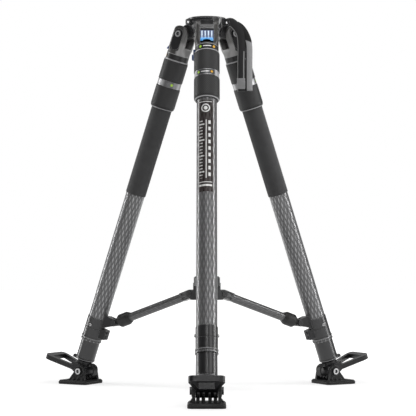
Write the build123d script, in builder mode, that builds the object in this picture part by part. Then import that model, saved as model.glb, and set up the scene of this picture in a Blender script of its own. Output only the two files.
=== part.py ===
"""Video tripod: half-ball bowl hub, three twist-lock legs, mid-level spreader and swivel foot pads.

Millimetres, +Z up.  The origin is the centre of the bowl mouth, in the plane of the rim.
Each leg has its own frame: origin at its hub pivot, x outward and square to the leg, y along the pivot pin,
z up the leg.  Stations named *_at are distances down the leg from the pivot.
"""
from build123d import *
import os
from math import cos, radians, sin, sqrt, tan

# ---------------------------------------------------------------- driving dimensions
LEGS = {"front": -90.0, "right": 30.0, "left": 150.0}
leg_tilt = 20.0

slip = 0.05
clear = 0.3

# bowl and hub
ball_r = 37.5
lip_depth = 3.0
bowl_wall = 3.0
throat_r = 20.0
throat_length = 7.0
flange_r = 42.1
flange_thick = 3.2
skirt_r = 31.0
pivot_reach = 58.0
pivot_drop = 32.4
knuckle_r = 13.0
knuckle_width = 29.0
pivot_bolt_r = 5.0
pivot_cap_r = 8.0
pivot_cap_thick = 2.4
eyelet_angles = (208.0, 341.5)
eyelet_reach = 52.0
eyelet_plate = 4.0
eyelet_hole_r = 3.0
eyelet_height = 15.0
post_angle = 322.0
post_reach = 38.0
post_r = 3.4
post_length = 21.0

# leg castings
fork_depth = 38.0
fork_shift = -1.0
fork_width = 48.0
fork_flare = 2.6
fork_corner = 8.0
fork_end = 30.0
neck_r = 25.4
neck_from = 44.0
neck_end = 58.5
stem_r = 19.8
stem_bore_r = 14.0
stem_end = 184.0
window_length = 13.0
tab_width = 28.0
tab_pivot_out = 14.2
tab_pivot_at = 13.0
tab_end = 40.0
tab_barrel_r = 3.4
tab_pin_r = 1.8
pad_length = 48.0
pad_width = 23.0
pad_proud = 1.6

# twist locks
grip_r = 27.5
ring_r = 26.6
trim_length = 2.0
trim_r = 26.9
upper_grip_end = 106.2
lower_grip_from = 120.2
lower_grip_end = 166.0
lip_end = 172.0
lip_r = 23.4

# tubes
tube_r = 21.5
tube_wall = 1.6
tube_end = 671.0
tube_seat = 20.5
tube_grip_depth = 8.0
sleeve_r = 23.0
sleeve_end = 373.5
collar_r = 22.8
collar_depth = 49.5
collar_end = tube_end + collar_depth
collar_bore_reach = 40.0
middle_r = 18.6
middle_wall = 1.5
middle_from = 192.0
flange_ring_r = 24.0
middle_lip = 6.1
middle_end = collar_end + middle_lip
inner_r = 16.2
inner_wall = 1.5
inner_from = 204.0
inner_seat = 30.0

# foot fitting with its pedal
boot_r = 21.7
boot_length = 47.9
boot_end = middle_end + boot_length
taper_length = 4.0
taper_end = boot_end + taper_length
ankle_neck_r = 16.0
ankle_drop = 19.7
foot_pivot_at = taper_end + ankle_drop
foot_pivot_in = 11.0
ankle_width = 44.4
ankle_r = 14.0
pedal_thick = 11.0
pedal_reach = 86.0
pedal_tip_width = 70.8
pedal_root_width = 48.0
pedal_bar = 13.5
foot_bolt_r = 5.0
foot_bolt_head_r = 8.0
foot_bolt_head = 3.6

# foot pad
ankle_height = 30.1751
sole_length = 78.0
sole_width = 76.0
sole_corner = 9.0
sole_thick = 9.0
sole_shift = 15.0
ear_thick = 6.6
ear_boss_r = 13.0
gusset = 3.0
strap_band = 3.4
strap_width = 15.0

# spreader
pin_lift = 5.0
pin_at = tube_end - pin_lift
pin_in = 49.5
pin_r = 3.2
pin_head_r = 6.0
lug_gap = 10.6
lug_cheek = 4.2
lug_slot = 9.0
eye_r = 8.0
arm_rise = 19.0
arm_inner_reach = 38.0
arm_depth = 19.0
arm_tube_wall = 1.4
rod_r = 7.5
rod_length = 90.0
knob_r = 15.0
knob_from = 10.0
knob_length = 34.0
knob_lap = 12.0
blade_length = 26.0
handle_r = 28.75
handle_wall = 3.0
handle_low = 18.4
handle_high = 38.7
handle_arch_top = 30.5
hub_post_r = 6.5
hub_plate_r = 23.5
hub_low = -13.0
hub_ear = 2.5
hub_ear_r = 8.0

# carrying strap
strap_back_y = -6.2
band_thick = 5.4
band_a_x = 75.0
band_a_width = 16.0
band_b_x = 92.3
band_b_width = 16.0
band_hang = 162.0
keeper_from = 133.0
keeper_end = 156.0
keeper_wall = 0.9

# ---------------------------------------------------------------- derived sizes
throat_depth = lip_depth + sqrt(ball_r**2 - throat_r**2)
rim_z = 0.0
hub_bottom = throat_depth + throat_length
tube_bore_r = tube_r - tube_wall
stem_plug_r = tube_bore_r - slip
ring_bore_r = stem_r + slip
sin_tilt = sin(radians(leg_tilt))
cos_tilt = cos(radians(leg_tilt))
ankle_z = rim_z - pivot_drop - foot_pivot_at * cos_tilt - foot_pivot_in * sin_tilt
floor_z = ankle_z - ankle_height


def leg_frame(azimuth):
    """Frame of one leg, with its origin at the hub pivot."""
    a = radians(azimuth)
    pivot = Vector(pivot_reach * cos(a), pivot_reach * sin(a), rim_z - pivot_drop)
    outward = Vector(cos(a) * cos_tilt, sin(a) * cos_tilt, sin_tilt)
    up_leg = Vector(-cos(a) * sin_tilt, -sin(a) * sin_tilt, cos_tilt)
    return Plane(origin=pivot, x_dir=outward, z_dir=up_leg)


def side_of(frame, y=0.0):
    """Plane across a frame's y axis: x stays outward, its y runs up the frame's z."""
    return Plane(origin=frame.from_local_coords(Vector(0, y, 0)), x_dir=frame.x_dir, z_dir=-frame.y_dir)


def station(frame, distance):
    """Plane square to the leg at a distance down from the pivot."""
    return frame.offset(-distance)


def leg_axis(frame):
    return Axis(frame.origin, frame.z_dir)


def foot_frame(azimuth):
    """Level frame on the floor below the foot pivot of one leg."""
    a = radians(azimuth)
    reach = pivot_reach + foot_pivot_at * sin_tilt - foot_pivot_in * cos_tilt
    return Plane(origin=(reach * cos(a), reach * sin(a), floor_z), x_dir=(cos(a), sin(a), 0), z_dir=(0, 0, 1))


def arm_frame(azimuth):
    """Frame of a spreader arm: origin on its outer pin, x up the arm to the middle, y along the pin."""
    a = radians(azimuth)
    reach = pivot_reach + pin_at * sin_tilt - pin_in * cos_tilt
    drop = pivot_drop + pin_at * cos_tilt + pin_in * sin_tilt
    rise = radians(arm_rise)
    along = Vector(-cos(a) * cos(rise), -sin(a) * cos(rise), sin(rise))
    above = Vector(cos(a) * sin(rise), sin(a) * sin(rise), cos(rise))
    return Plane(origin=(reach * cos(a), reach * sin(a), rim_z - drop), x_dir=along, z_dir=above)


pin_reach = pivot_reach + pin_at * sin_tilt - pin_in * cos_tilt
pin_z = rim_z - pivot_drop - pin_at * cos_tilt - pin_in * sin_tilt
arm_span = pin_reach - arm_inner_reach
arm_length = arm_span / cos(radians(arm_rise))
hub_pin_z = pin_z + arm_span * tan(radians(arm_rise))


def save(builder, name):
    builder.part.label = name
    export_step(builder.part, f"parts/{name}.step")


# ---------------------------------------------------------------- bowl hub
def upright(azimuth, offset=0.0):
    """Upright plane through the bowl axis: x outward at an azimuth, y up; offset moves it sideways."""
    a = radians(azimuth)
    normal = Vector(sin(a), -cos(a), 0)
    return Plane(origin=normal * offset, x_dir=(cos(a), sin(a), 0), z_dir=normal)


def make_bowl_hub():
    """Half-ball bowl with its rim flange, three leg knuckles and two strap eyelets, one casting."""
    outer_ball = ball_r + bowl_wall
    skirt_top = rim_z - lip_depth - sqrt(outer_ball**2 - skirt_r**2)
    mid = radians(25)
    knuckle_z = rim_z - pivot_drop
    with BuildPart() as bowl_hub:
        with BuildSketch(Plane.XZ):
            with BuildLine():
                Polyline(
                    (0, rim_z - hub_bottom),
                    (skirt_r - 1.5, rim_z - hub_bottom),
                    (skirt_r, rim_z - hub_bottom + 1.5),
                    (skirt_r, skirt_top),
                )
                ThreePointArc(
                    (skirt_r, skirt_top),
                    (outer_ball * cos(mid), rim_z - lip_depth - outer_ball * sin(mid)),
                    (outer_ball, rim_z - flange_thick),
                )
                Polyline(
                    (outer_ball, rim_z - flange_thick),
                    (flange_r, rim_z - flange_thick),
                    (flange_r, rim_z - 0.6),
                    (flange_r - 0.6, rim_z),
                    (0, rim_z),
                    (0, rim_z - hub_bottom),
                )
            make_face()
        revolve(axis=Axis.Z)
        for azimuth in LEGS.values():
            # knuckle: a rounded lug that tapers out from the skirt to the pivot
            with BuildSketch(upright(azimuth)):
                with BuildLine():
                    Polyline(
                        (0, rim_z - flange_thick - 3),
                        (skirt_r + 4, rim_z - flange_thick - 3),
                        (pivot_reach + 4, knuckle_z + knuckle_r - 0.6),
                        (pivot_reach, knuckle_z - knuckle_r),
                        (skirt_r, rim_z - hub_bottom),
                        (0, rim_z - hub_bottom),
                        (0, rim_z - flange_thick - 3),
                    )
                make_face()
                with Locations((pivot_reach, knuckle_z)):
                    Circle(knuckle_r)
            extrude(amount=knuckle_width / 2, both=True)
            with BuildSketch(upright(azimuth)):
                with Locations((pivot_reach, knuckle_z)):
                    Circle(pivot_bolt_r + slip)
            extrude(amount=knuckle_width, both=True, mode=Mode.SUBTRACT)
        for azimuth in eyelet_angles:
            # strap eyelet: an upright plate under the flange, rounded outside, with a hole through it
            eye_from = skirt_r - 4
            eye_z = rim_z - flange_thick - eyelet_height / 2
            with BuildSketch(upright(azimuth)):
                with Locations(((eyelet_reach + eye_from) / 2, eye_z)):
                    RectangleRounded(eyelet_reach - eye_from, eyelet_height, 5)
                with Locations((eyelet_reach - 5.5, eye_z)):
                    Circle(eyelet_hole_r, mode=Mode.SUBTRACT)
            extrude(amount=eyelet_plate / 2, both=True)
        # small upright post beside the right eyelet
        with BuildSketch(Plane.XY.offset(rim_z - flange_thick - post_length)):
            with Locations(Location((0, 0, 0), (0, 0, post_angle))):
                with Locations((post_reach, 0)):
                    Circle(post_r)
                with Locations((post_reach - post_r, 0)):
                    Rectangle(2 * post_r, 1.4 * post_r)
        extrude(amount=post_length + 1)
        # mouth, ball seat and throat, cut last so that nothing stands into them
        with BuildSketch(Plane.XZ):
            with BuildLine():
                Polyline(
                    (0, rim_z - hub_bottom),
                    (throat_r, rim_z - hub_bottom),
                    (throat_r, rim_z - throat_depth),
                )
                ThreePointArc(
                    (throat_r, rim_z - throat_depth),
                    (ball_r * cos(mid), rim_z - lip_depth - ball_r * sin(mid)),
                    (ball_r, rim_z - lip_depth),
                )
                Polyline((ball_r, rim_z - lip_depth), (ball_r, rim_z), (0, rim_z), (0, rim_z - hub_bottom))
            make_face()
        revolve(axis=Axis.Z, mode=Mode.SUBTRACT)
    save(bowl_hub, "bowl_hub")


# ---------------------------------------------------------------- leg top
def profile(plane, points):
    """Closed straight-sided outline on a plane."""
    with BuildSketch(plane) as outline:
        with BuildLine():
            Polyline(*points, points[0])
        make_face()
    return outline.sketch


def ring_profile(leg, points):
    """Outline of (radius, distance down the leg) for a ring about the leg axis."""
    return profile(side_of(leg), [(r, -d) for r, d in points])


def make_leg_casting(leg, side):
    """Fork, angle-stop pocket, inner window, side pads, neck ring and the stem that carries the locks."""
    top = fork_depth / 2
    with BuildPart() as casting:
        with BuildSketch(station(leg, -top)):
            with Locations((fork_shift, 0)):
                RectangleRounded(fork_depth, fork_width, fork_corner)
        with BuildSketch(station(leg, fork_end)):
            with Locations((fork_shift, 0)):
                RectangleRounded(fork_depth, fork_width + fork_flare, fork_corner)
        loft()
        # rounded head about the pivot
        with BuildSketch(side_of(leg)):
            with Locations((fork_shift, 0)):
                Circle(top)
            with Locations((fork_shift, -fork_end / 2)):
                Rectangle(fork_depth, fork_end)
        extrude(amount=fork_width, both=True, mode=Mode.INTERSECT)
        with BuildSketch(station(leg, fork_end)):
            with Locations((fork_shift, 0)):
                RectangleRounded(fork_depth, fork_width + fork_flare, fork_corner)
        with BuildSketch(station(leg, neck_from)):
            Circle(neck_r)
        loft()
        revolve(ring_profile(leg, [
            (0, neck_from), (neck_r, neck_from), (neck_r, neck_end), (trim_r, neck_end),
            (trim_r, neck_end + trim_length), (stem_r, neck_end + trim_length),
            (stem_r, lip_end - tube_grip_depth), (stem_plug_r, lip_end - tube_grip_depth),
            (stem_plug_r, stem_end), (0, stem_end),
        ]), axis=leg_axis(leg))
        with BuildSketch(station(leg, neck_end)):
            Circle(stem_bore_r)
        extrude(amount=-(stem_end - neck_end), mode=Mode.SUBTRACT)
        # raised pads around the pivot on both cheeks
        for face in (1, -1):
            with BuildSketch(side_of(leg)):
                with Locations((0, -(pad_length - pad_width) / 2)):
                    SlotOverall(pad_length, pad_width, rotation=90)
            extrude(amount=-face * (fork_width / 2 + pad_proud))
        # slot for the hub knuckle, open above and inward, with a round floor
        slot_r = knuckle_r + 1.5
        with BuildSketch(side_of(leg)):
            Circle(slot_r)
            with Locations((0, slot_r)):
                Rectangle(2 * fork_depth, 2 * slot_r)
            with Locations((-fork_depth / 2, -slot_r / 2)):
                Rectangle(fork_depth, slot_r)
            # inner window below the knuckle
            with Locations((-fork_depth / 2 - 2, -slot_r + 3 - window_length / 2)):
                Rectangle(fork_depth - 8, window_length + 6)
            # pocket for the angle stop
            with Locations((fork_depth / 2 + 5, -(tab_end + 3) / 2)):
                Rectangle(fork_depth - 10, tab_end + 3)
        extrude(amount=knuckle_width / 2 + clear, both=True, mode=Mode.SUBTRACT)
        with BuildSketch(side_of(leg)):
            Circle(pivot_bolt_r + slip)
            with Locations((tab_pivot_out, -tab_pivot_at)):
                Circle(tab_pin_r + slip)
        extrude(amount=fork_width, both=True, mode=Mode.SUBTRACT)
    save(casting, f"leg_casting_{side}")


def make_pivot_bolt(leg, side):
    """Through bolt of the leg pivot, with a turned cap and a hex socket at each end."""
    cap_from = fork_width / 2 + pad_proud
    with BuildPart() as bolt:
        with BuildSketch(side_of(leg)):
            Circle(pivot_bolt_r)
        extrude(amount=cap_from, both=True)
        for face in (1, -1):
            with BuildSketch(side_of(leg, face * cap_from)):
                Circle(pivot_cap_r)
            extrude(amount=-face * pivot_cap_thick)
            with BuildSketch(side_of(leg, face * (cap_from + pivot_cap_thick))):
                RegularPolygon(3.4, 6)
            extrude(amount=face * 1.8, mode=Mode.SUBTRACT)
        rims = bolt.edges().filter_by(GeomType.CIRCLE).filter_by(lambda e: abs(e.radius - pivot_cap_r) < 0.01)
        outer = rims.sort_by(Axis(leg.origin, leg.y_dir))
        chamfer([outer[0], outer[-1]], length=0.7)
    save(bolt, f"pivot_bolt_{side}")


def make_angle_tab(leg, side):
    """Pull tab of the angle stop: barrel on a cross pin, ribbed face and a flared lip with an arched edge."""
    top = -tab_pivot_at
    with BuildPart() as tab:
        with BuildSketch(side_of(leg)):
            with Locations((tab_pivot_out, top)):
                Circle(tab_barrel_r)
            with BuildLine():
                Polyline(
                    (tab_pivot_out - 2.6, top - 1),
                    (tab_pivot_out + tab_barrel_r - 0.1, top),
                    (tab_pivot_out + 5.0, top - 14),
                    (tab_pivot_out + 10.5, -tab_end + 3),
                    (tab_pivot_out + 10.5, -tab_end),
                    (tab_pivot_out + 7, -tab_end + 1.5),
                    (tab_pivot_out + 1.5, top - 14),
                    (tab_pivot_out - 2.6, top - 1),
                )
            make_face()
        extrude(amount=tab_width / 2, both=True)
        # arched lower edge
        edge = station(leg, tab_end)
        with BuildSketch(Plane(origin=edge.origin, x_dir=leg.y_dir, z_dir=leg.x_dir)):
            with Locations((0, -6.5)):
                Circle(12)
        extrude(amount=2 * fork_depth, mode=Mode.SUBTRACT)
        # four ribs down the face
        pitch = tab_width / 4
        for k in range(4):
            with BuildSketch(side_of(leg, (k - 1.5) * pitch)):
                with BuildLine():
                    Polyline(
                        (tab_pivot_out + 1, top + 1.5),
                        (tab_pivot_out + tab_barrel_r + 1.6, top),
                        (tab_pivot_out + 7.0, top - 13),
                        (tab_pivot_out + 4, top - 15),
                        (tab_pivot_out + 1, top + 1.5),
                    )
                make_face()
            extrude(amount=1.5, both=True)
        with BuildSketch(side_of(leg)):
            with Locations((tab_pivot_out, top)):
                Circle(tab_pin_r)
        extrude(amount=tab_width / 2 + 4, both=True)
    save(tab, f"angle_tab_{side}")


def make_locks(leg, side):
    """Upper and lower twist locks and the marked ring fixed between them."""
    grip_bore = stem_r + slip
    upper_from = neck_end + trim_length + clear
    with BuildPart() as ring:
        revolve(ring_profile(leg, [
            (stem_r, upper_grip_end + clear), (ring_r, upper_grip_end + clear),
            (ring_r, lower_grip_from - clear), (stem_r, lower_grip_from - clear),
        ]), axis=leg_axis(leg))
    save(ring, f"indicator_ring_{side}")
    with BuildPart() as upper:
        revolve(ring_profile(leg, [
            (grip_bore, upper_from), (grip_r - 1, upper_from), (grip_r, upper_from + 1.5),
            (grip_r, upper_grip_end - 1.5), (grip_r - 0.8, upper_grip_end), (grip_bore, upper_grip_end),
        ]), axis=leg_axis(leg))
    save(upper, f"upper_grip_{side}")
    with BuildPart() as lower:
        revolve(ring_profile(leg, [
            (grip_bore, lower_grip_from), (grip_r - 0.8, lower_grip_from), (grip_r, lower_grip_from + 1.5),
            (grip_r, lower_grip_end - 1), (grip_r - 1.2, lower_grip_end), (grip_r - 1.2, lower_grip_end + 1),
            (grip_r - 0.4, lower_grip_end + 1.4), (lip_r, lip_end), (tube_r + slip, lip_end),
            (tube_r + slip, lip_end - tube_grip_depth), (grip_bore, lip_end - tube_grip_depth),
        ]), axis=leg_axis(leg))
    save(lower, f"lower_grip_{side}")


# ---------------------------------------------------------------- leg tubes
def make_outer_tube(leg, side):
    tube_from = lip_end - tube_grip_depth + clear
    with BuildPart() as tube:
        with BuildSketch(station(leg, tube_from)):
            Circle(tube_r)
            Circle(tube_bore_r, mode=Mode.SUBTRACT)
        extrude(amount=-(tube_end + tube_seat - tube_from))
    save(tube, f"outer_tube_{side}")


def make_sleeve(leg, side):
    with BuildPart() as sleeve:
        with BuildSketch(station(leg, lip_end + clear)):
            Circle(sleeve_r)
            Circle(tube_r, mode=Mode.SUBTRACT)
        extrude(amount=-(sleeve_end - lip_end - clear))
        rims = sleeve.edges().filter_by(GeomType.CIRCLE).filter_by(lambda e: abs(e.radius - sleeve_r) < 0.01)
        fillet(rims, radius=1)
    save(sleeve, f"grip_sleeve_{side}")


def make_collar(leg, side):
    """End collar of the outer tube with its spreader lug and the clamp block below it."""
    groove = tube_end + 24.5
    seat_end = tube_end + tube_seat
    cheek = lug_gap / 2 + lug_cheek
    root = -collar_r + 4
    with BuildPart() as collar:
        revolve(ring_profile(leg, [
            (0, tube_end), (collar_r - 0.5, tube_end), (collar_r, tube_end + 0.6),
            (collar_r, groove - 0.6), (collar_r - 0.7, groove), (collar_r, groove + 0.6),
            (collar_r, collar_end - 2.9), (flange_ring_r, collar_end - 2.5), (flange_ring_r, collar_end),
            (0, collar_end),
        ]), axis=leg_axis(leg))
        # spreader lug on the inner side: a root on the collar and two cheeks round the pin
        with BuildSketch(side_of(leg)):
            with BuildLine():
                Polyline(
                    (root, -pin_at + eye_r - 3),
                    (-collar_r - 6, -pin_at + eye_r - 0.5),
                    (-pin_in, -pin_at + eye_r - 0.5),
                    (-pin_in, -pin_at - eye_r + 0.5),
                    (root, -tube_end - 20),
                    (root, -pin_at + eye_r - 3),
                )
            make_face()
            with Locations((-pin_in, -pin_at)):
                Circle(eye_r)
        extrude(amount=cheek, both=True)
        with BuildSketch(side_of(leg)):
            with Locations((-pin_in + lug_slot - fork_depth, -pin_at)):
                Rectangle(2 * fork_depth, 4 * eye_r)
        extrude(amount=lug_gap / 2, both=True, mode=Mode.SUBTRACT)
        with BuildSketch(side_of(leg)):
            with Locations((-pin_in, -pin_at)):
                Circle(pin_r + slip)
        extrude(amount=2 * cheek, both=True, mode=Mode.SUBTRACT)
        # clamp block with two screw heads
        block_at = tube_end + 31
        block_end = -collar_r - 14
        with BuildSketch(station(leg, block_at - 11)):
            with Locations(((root + block_end) / 2, 0)):
                RectangleRounded(root - block_end, 20, 2)
        extrude(amount=-22)
        for step in (-5.5, 5.5):
            with BuildSketch(Plane(
                origin=leg.from_local_coords(Vector(block_end, 0, -block_at - step)), x_dir=leg.y_dir, z_dir=-leg.x_dir,
            )):
                Circle(3.6)
                RegularPolygon(2, 6, mode=Mode.SUBTRACT)
            extrude(amount=1.4)
        # bores for the outer and the middle tube
        with BuildSketch(station(leg, pin_at - collar_bore_reach)):
            Circle(tube_r)
        extrude(amount=-(seat_end - pin_at + collar_bore_reach), mode=Mode.SUBTRACT)
        with BuildSketch(station(leg, seat_end)):
            Circle(middle_r + slip)
        extrude(amount=-(collar_end - seat_end), mode=Mode.SUBTRACT)
    save(collar, f"leg_collar_{side}")


def make_middle_tube(leg, side):
    bore = middle_r - middle_wall
    with BuildPart() as middle:
        revolve(ring_profile(leg, [
            (bore, middle_from), (middle_r, middle_from), (middle_r, collar_end),
            (boot_r, collar_end), (boot_r, middle_end - 2.4), (flange_ring_r, middle_end - 2),
            (flange_ring_r, middle_end), (inner_r + slip, middle_end), (inner_r + slip, collar_end - 25),
            (bore, collar_end - 25),
        ]), axis=leg_axis(leg))
    save(middle, f"middle_tube_{side}")


def make_inner_tube(leg, side):
    with BuildPart() as inner:
        with BuildSketch(station(leg, inner_from)):
            Circle(inner_r)
            Circle(inner_r - inner_wall, mode=Mode.SUBTRACT)
        extrude(amount=-(middle_end + inner_seat - inner_from))
    save(inner, f"inner_tube_{side}")


# ---------------------------------------------------------------- foot
def make_foot_fitting(leg, side):
    """Boot sleeve, tapered neck, ankle block and the step-on pedal frame."""
    seat_end = middle_end + inner_seat
    pedal_top = foot_pivot_at - pedal_thick / 2
    pedal_low = foot_pivot_at + pedal_thick / 2
    flare_from = ankle_neck_r + 6
    flare_end = pedal_reach - 16
    flare = (pedal_tip_width - pedal_root_width) / 2 / (flare_end - flare_from)
    hole_from = 24.0
    hole_end = pedal_reach - pedal_bar
    hole_near = pedal_root_width / 2 + (hole_from - flare_from) * flare - 9
    hole_far = pedal_tip_width / 2 - 9
    with BuildPart() as fitting:
        revolve(ring_profile(leg, [
            (0, middle_end), (boot_r - 0.6, middle_end), (boot_r, middle_end + 0.6),
            (boot_r, boot_end - 5.4), (boot_r - 0.7, boot_end - 5), (boot_r - 0.7, boot_end - 4.4),
            (boot_r, boot_end - 4), (boot_r + 0.5, boot_end - 1.5), (boot_r, boot_end),
            (ankle_neck_r, taper_end), (ankle_neck_r, pedal_top + 2), (0, pedal_top + 2),
        ]), axis=leg_axis(leg))
        # ankle block, rounded about the foot pivot
        with BuildSketch(side_of(leg)):
            with BuildLine():
                Polyline(
                    (-foot_pivot_in - ankle_r, -foot_pivot_at),
                    (-ankle_neck_r - 2, -taper_end - 7),
                    (ankle_neck_r + 1, -taper_end - 7),
                    (ankle_neck_r + 1, -pedal_low + 1),
                    (-foot_pivot_in, -foot_pivot_at - ankle_r),
                    (-foot_pivot_in - ankle_r, -foot_pivot_at),
                )
            make_face()
            with Locations((-foot_pivot_in, -foot_pivot_at)):
                Circle(ankle_r)
        extrude(amount=ankle_width / 2, both=True)
        # pedal: a flaring frame square to the leg, open in the middle
        with BuildSketch(station(leg, pedal_top)):
            with BuildLine():
                Polyline(
                    (ankle_neck_r - 2, -ankle_width / 2),
                    (flare_from, -pedal_root_width / 2),
                    (flare_end, -pedal_tip_width / 2),
                    (pedal_reach, -pedal_tip_width / 2),
                    (pedal_reach, pedal_tip_width / 2),
                    (flare_end, pedal_tip_width / 2),
                    (flare_from, pedal_root_width / 2),
                    (ankle_neck_r - 2, ankle_width / 2),
                    (ankle_neck_r - 2, -ankle_width / 2),
                )
            make_face()
            with BuildLine():
                Polyline(
                    (hole_from, -hole_near), (hole_end, -hole_far), (hole_end, hole_far),
                    (hole_from, hole_near), (hole_from, -hole_near),
                )
            make_face(mode=Mode.SUBTRACT)
        extrude(amount=-pedal_thick)
        uprights = fitting.edges().filter_by(lambda e: abs(e.length - pedal_thick) < 0.01)
        tips = uprights.sort_by(Axis(leg.origin, leg.x_dir))
        fillet(tips[-2:], radius=10)
        # boss on the outer side of the boot
        with BuildSketch(Plane(
            origin=leg.from_local_coords(Vector(0, 0, -boot_end - 2.5)), x_dir=leg.y_dir, z_dir=leg.x_dir,
        )):
            RectangleRounded(11, 7, 2)
        extrude(amount=boot_r + 9)
        # anchor of the retaining strap on the inner side
        with BuildSketch(side_of(leg)):
            with Locations((-ankle_neck_r, -taper_end - 3.2)):
                Rectangle(8, 6)
        extrude(amount=strap_width / 2, both=True)
        with BuildSketch(side_of(leg)):
            with Locations((-foot_pivot_in, -foot_pivot_at)):
                Circle(foot_bolt_r + slip)
        extrude(amount=ankle_width, both=True, mode=Mode.SUBTRACT)
        # socket for the inner tube
        with BuildSketch(station(leg, middle_end)):
            Circle(inner_r)
        extrude(amount=-inner_seat, mode=Mode.SUBTRACT)
    save(fitting, f"foot_fitting_{side}")


def make_foot_bolts(foot, side):
    """Ankle bolt with a hex-socket head on a collar outside each ear of the pad."""
    height = ankle_height
    head_from = ankle_width / 2 + clear + ear_thick + 1.0
    with BuildPart() as bolts:
        with BuildSketch(side_of(foot)):
            with Locations((0, height)):
                Circle(foot_bolt_r)
        extrude(amount=head_from, both=True)
        for face in (1, -1):
            with BuildSketch(side_of(foot, face * head_from)):
                with Locations((0, height)):
                    Circle(foot_bolt_head_r)
            extrude(amount=-face * foot_bolt_head)
            with BuildSketch(side_of(foot, face * (head_from + foot_bolt_head))):
                with Locations((0, height)):
                    RegularPolygon(4, 6)
            extrude(amount=face * 2.6, mode=Mode.SUBTRACT)
    save(bolts, f"foot_bolts_{side}")


def make_foot_pad(foot, side):
    """Rubber sole with two buttressed ears that carry the ankle bolts."""
    height = ankle_height
    ear_from = ankle_width / 2 + clear
    ear_end = ear_from + ear_thick
    back = sole_shift - sole_length / 2
    front = sole_shift + sole_length / 2
    with BuildPart() as pad:
        with BuildSketch(foot):
            with Locations((sole_shift, 0)):
                RectangleRounded(sole_length, sole_width, sole_corner)
        extrude(amount=sole_thick)
        top = pad.faces().sort_by(Axis.Z)[-1]
        chamfer(top.edges(), length=3)
        bottom = pad.faces().sort_by(Axis.Z)[0]
        chamfer(bottom.edges(), length=1)
        for face in (1, -1):
            with BuildSketch(side_of(foot, face * ear_from)):
                with BuildLine():
                    Polyline(
                        (back + 8, sole_thick - 1),
                        (front - 20, sole_thick - 1),
                        (front - 27, sole_thick + 3),
                        (ear_boss_r - 1, height),
                        (-ear_boss_r + 1, height),
                        (back + 8, sole_thick - 1),
                    )
                make_face()
                with Locations((0, height)):
                    Circle(ear_boss_r)
            extrude(amount=-face * ear_thick)
            with BuildSketch(side_of(foot, face * ear_end)):
                with Locations((0, height)):
                    Circle(ear_boss_r - 1.4)
            extrude(amount=-face * 1.0)
            # outer gussets from the sole up to the ear
            for x in (-10, 2, 14):
                with BuildSketch(Plane(
                    origin=foot.from_local_coords(Vector(x, 0, 0)), x_dir=foot.y_dir, z_dir=foot.x_dir,
                )):
                    with BuildLine():
                        Polyline(
                            (face * (ear_end - 1), sole_thick - 1),
                            (face * (ear_end + 5), sole_thick - 1),
                            (face * (ear_end - 1), sole_thick + 8),
                            (face * (ear_end - 1), sole_thick - 1),
                        )
                    make_face()
                extrude(amount=gusset)
        with BuildSketch(side_of(foot)):
            with Locations((0, height)):
                Circle(foot_bolt_r + slip)
        extrude(amount=sole_width, both=True, mode=Mode.SUBTRACT)
    save(pad, f"foot_pad_{side}")


def make_foot_strap(leg, foot, side):
    """C-shaped rubber strap from its anchor under the boot down towards the sole."""
    root = foot.to_local_coords(leg.from_local_coords(Vector(-ankle_neck_r - 4, 0, -taper_end - 3)))
    x, z = root.X, root.Z
    with BuildPart() as strap:
        with BuildSketch(side_of(foot)):
            with BuildLine():
                outer = ThreePointArc((x - 1.6, z + 3.4), (x - 13.2, z - 11), (x - 5.5, z - 26))
                inner = ThreePointArc((x - 0.3, z - 0.2), (x - 13.2 + strap_band, z - 11), (x - 3.1, z - 23.6))
                Line(outer @ 0, inner @ 0)
                Line(outer @ 1, inner @ 1)
            make_face()
        extrude(amount=strap_width / 2, both=True)
    save(strap, f"foot_strap_{side}")


# ---------------------------------------------------------------- spreader
def arm_station(arm, distance):
    """Plane square to the arm, its normal towards the middle of the spreader."""
    return Plane(
        origin=arm.from_local_coords(Vector(distance, 0, 0)), x_dir=arm.y_dir, z_dir=arm.x_dir,
    )


def make_arm_rod(arm, side):
    """Rod of the spreader arm: eye with the two trunnions that turn in the collar lug, and the plain rod."""
    eye_half = lug_gap / 2 - clear
    cheek = lug_gap / 2 + lug_cheek
    with BuildPart() as rod:
        with BuildSketch(side_of(arm)):
            Circle(eye_r)
            with Locations((knob_from / 2, 0)):
                Rectangle(knob_from, 1.8 * rod_r)
        extrude(amount=eye_half, both=True)
        with BuildSketch(arm_station(arm, knob_from - 1.4)):
            Circle(rod_r)
        extrude(amount=rod_length - knob_from + 1.4)
        with BuildSketch(side_of(arm)):
            Circle(pin_r)
        extrude(amount=cheek, both=True)
        for face in (1, -1):
            with BuildSketch(side_of(arm, face * cheek)):
                Circle(pin_head_r)
            extrude(amount=-face * 2)
    save(rod, f"arm_rod_{side}")


def make_arm_knob(arm, side):
    """Clamp knob that locks the arm tube on its rod."""
    knob_end = knob_from + knob_length
    with BuildPart() as knob:
        with BuildSketch(side_of(arm)):
            with BuildLine():
                Polyline(
                    (knob_from, rod_r + slip),
                    (knob_from, knob_r - 4),
                    (knob_from + 6, knob_r),
                    (knob_end - 8, knob_r),
                    (knob_end, knob_r - 4),
                    (knob_end, arm_depth / 2 + slip),
                    (knob_end - knob_lap, arm_depth / 2 + slip),
                    (knob_end - knob_lap, rod_r + slip),
                    (knob_from, rod_r + slip),
                )
            make_face()
        revolve(axis=Axis(arm.origin, arm.x_dir))
    save(knob, f"arm_knob_{side}")


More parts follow.
